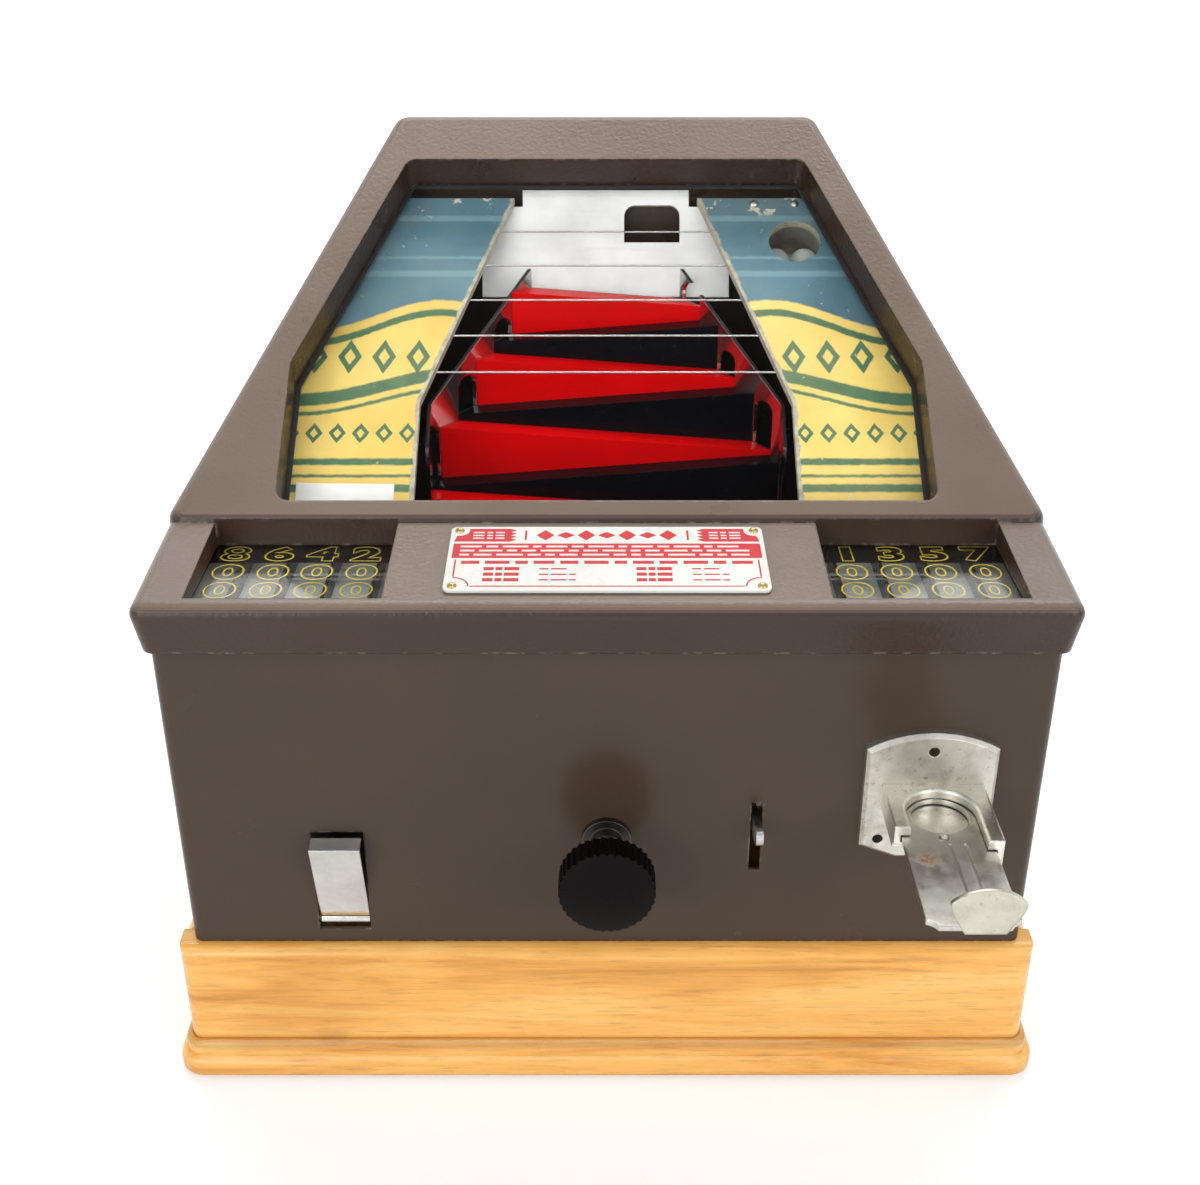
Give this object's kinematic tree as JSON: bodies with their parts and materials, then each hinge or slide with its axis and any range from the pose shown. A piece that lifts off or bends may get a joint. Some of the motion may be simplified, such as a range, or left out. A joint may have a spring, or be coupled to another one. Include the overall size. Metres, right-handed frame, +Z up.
{
  "type": "counter-top coin-operated ball skill game",
  "caption": "Counter-top coin-operated ball skill game: wooden base, enamelled cabinet, sloping window over a stepped field that a front knob rocks, with score windows, coin slide and gum flap.",
  "frame": {"origin": "On the table under the feet, at the middle of the bounding box in X and Y.", "axes": "+Z is up. -Y is the front, where the knob, lever, coin slide and gum flap are. +X is the right as seen from the front."},
  "size_m": [0.33, 0.3016, 0.3207],
  "materials": {
    "rubber": "moulded, dull",
    "plywood": "raw plywood",
    "honey_wood": "clear varnish, satin",
    "brown_sheet": "baked enamel, satin",
    "brown_casting": "baked enamel with a fine orange peel",
    "steel": "plain",
    "nickel": "worn nickel plate",
    "chrome": "bright plate",
    "brass": "dull",
    "black_rubber": "soft strip",
    "glass": "clear",
    "white_enamel": "printed enamel",
    "printed_board": "printed hardboard",
    "white_board": "white enamel",
    "red_enamel": "gloss",
    "black_enamel": "gloss",
    "black_plastic": "fluted, satin",
    "aluminium": "drawn",
    "gum": "sugar shell"
  },
  "bodies": {
    "cabinet": {"rubber_feet": "rubber", "bottom_panel": "plywood", "front_board": "honey_wood", "side_boards": "honey_wood", "back_rail": "honey_wood", "base_moulding": "honey_wood", "cabinet_shell": "brown_sheet", "rear_panel": "brown_sheet", "door_hinge_pin": "steel", "top_casting": "brown_casting", "window_gasket": "black_rubber", "window_glass": "glass", "score_glasses": "glass", "name_plate": "white_enamel", "name_plate_pins": "brass", "art_board_left": "printed_board", "art_board_right": "printed_board", "board_screws": "nickel", "guard_wires": "steel", "goal_board": "white_board", "sight_cup": "aluminium", "gum_balls": "gum", "bearing_bracket": "steel", "knob_bushing": "brass", "lane_tray_left": "black_enamel", "lane_tray_right": "black_enamel", "tray_rails": "steel", "ball_trough": "steel", "start_chute": "steel", "steel_balls": "chrome", "gold_ball": "brass", "lift_bracket": "steel", "lift_pin": "steel", "lift_spring": "steel", "chute_plate": "nickel", "chute_block": "nickel", "gum_flap_pin": "steel", "gum_chute": "steel", "cash_box": "steel"},
    "rocker": {"red_steps": "red_enamel", "black_steps": "black_enamel", "field_walls": "aluminium", "rocker_frame": "steel", "rocker_shaft": "steel", "rocker_crank": "steel"},
    "knob_set": {"knob": "black_plastic", "knob_shaft": "steel", "knob_crank": "steel"},
    "link": {"drag_link": "steel"},
    "slide": {"coin_slide": "nickel", "thumb_plate": "nickel"},
    "shutter": {"ball_shutter": "steel"},
    "lever": {"lift_lever": "steel"},
    "plunger": {"lift_plunger": "steel"},
    "flap": {"gum_flap": "chrome"},
    "door": {"rear_door": "brown_sheet"},
    "lock": {"lock_plug": "nickel"}
  },
  "joints": [
    {"name": "knob_turn", "type": "hinge", "parent": "cabinet", "child": "knob_set", "pos_m": [0, -0.0837, 0.1075], "axis": [0, 1, 0], "range_deg": [-17.5, 17.5]},
    {"name": "field_rock", "type": "hinge", "parent": "cabinet", "child": "rocker", "pos_m": [0, 0.11376, 0.205], "axis": [0, 1, 0], "range_deg": [-7.01, 7.01]},
    {"name": "link_swing", "type": "hinge", "parent": "knob_set", "child": "link", "pos_m": [0.01, 0.12626, 0.1075], "axis": [0, 1, 0], "range_deg": [-17.51, 17.51]},
    {"name": "slide_push", "type": "slide", "parent": "cabinet", "child": "slide", "axis": [0, 1, 0], "range_m": [0, 0.036]},
    {"name": "shutter_shift", "type": "slide", "parent": "cabinet", "child": "shutter", "axis": [1, 0, 0], "range_m": [0, 0.00751]},
    {"name": "lever_press", "type": "hinge", "parent": "cabinet", "child": "lever", "pos_m": [0.0535, -0.0517, 0.108], "axis": [1, 0, 0], "range_deg": [0, 28], "stiffness_Nm_per_rad": 0.02, "springref_deg": -17.19},
    {"name": "plunger_lift", "type": "slide", "parent": "cabinet", "child": "plunger", "axis": [0, 0, 1], "range_m": [0, 0.018], "deforming": ["lift_spring"]},
    {"name": "flap_swing", "type": "hinge", "parent": "cabinet", "child": "flap", "pos_m": [-0.097, -0.0697, 0.0685], "axis": [1, 0, 0], "range_deg": [-13, 40]},
    {"name": "door_swing", "type": "hinge", "parent": "cabinet", "child": "door", "pos_m": [0.1375, 0.1431, 0.087], "axis": [0, 0, -1], "range_deg": [0, 100]},
    {"name": "lock_turn", "type": "hinge", "parent": "door", "child": "lock", "pos_m": [0.055, 0.1403, 0.087], "axis": [0, -1, 0], "range_deg": [0, 90]}
  ],
  "couplings": [
    {"joint": "field_rock", "follows": "knob_turn", "ratio": 0.4},
    {"joint": "link_swing", "follows": "knob_turn", "ratio": -1},
    {"joint": "shutter_shift", "follows": "slide_push", "ratio": 0.20833},
    {"joint": "plunger_lift", "follows": "lever_press", "m_per_rad": 0.036734}
  ]
}
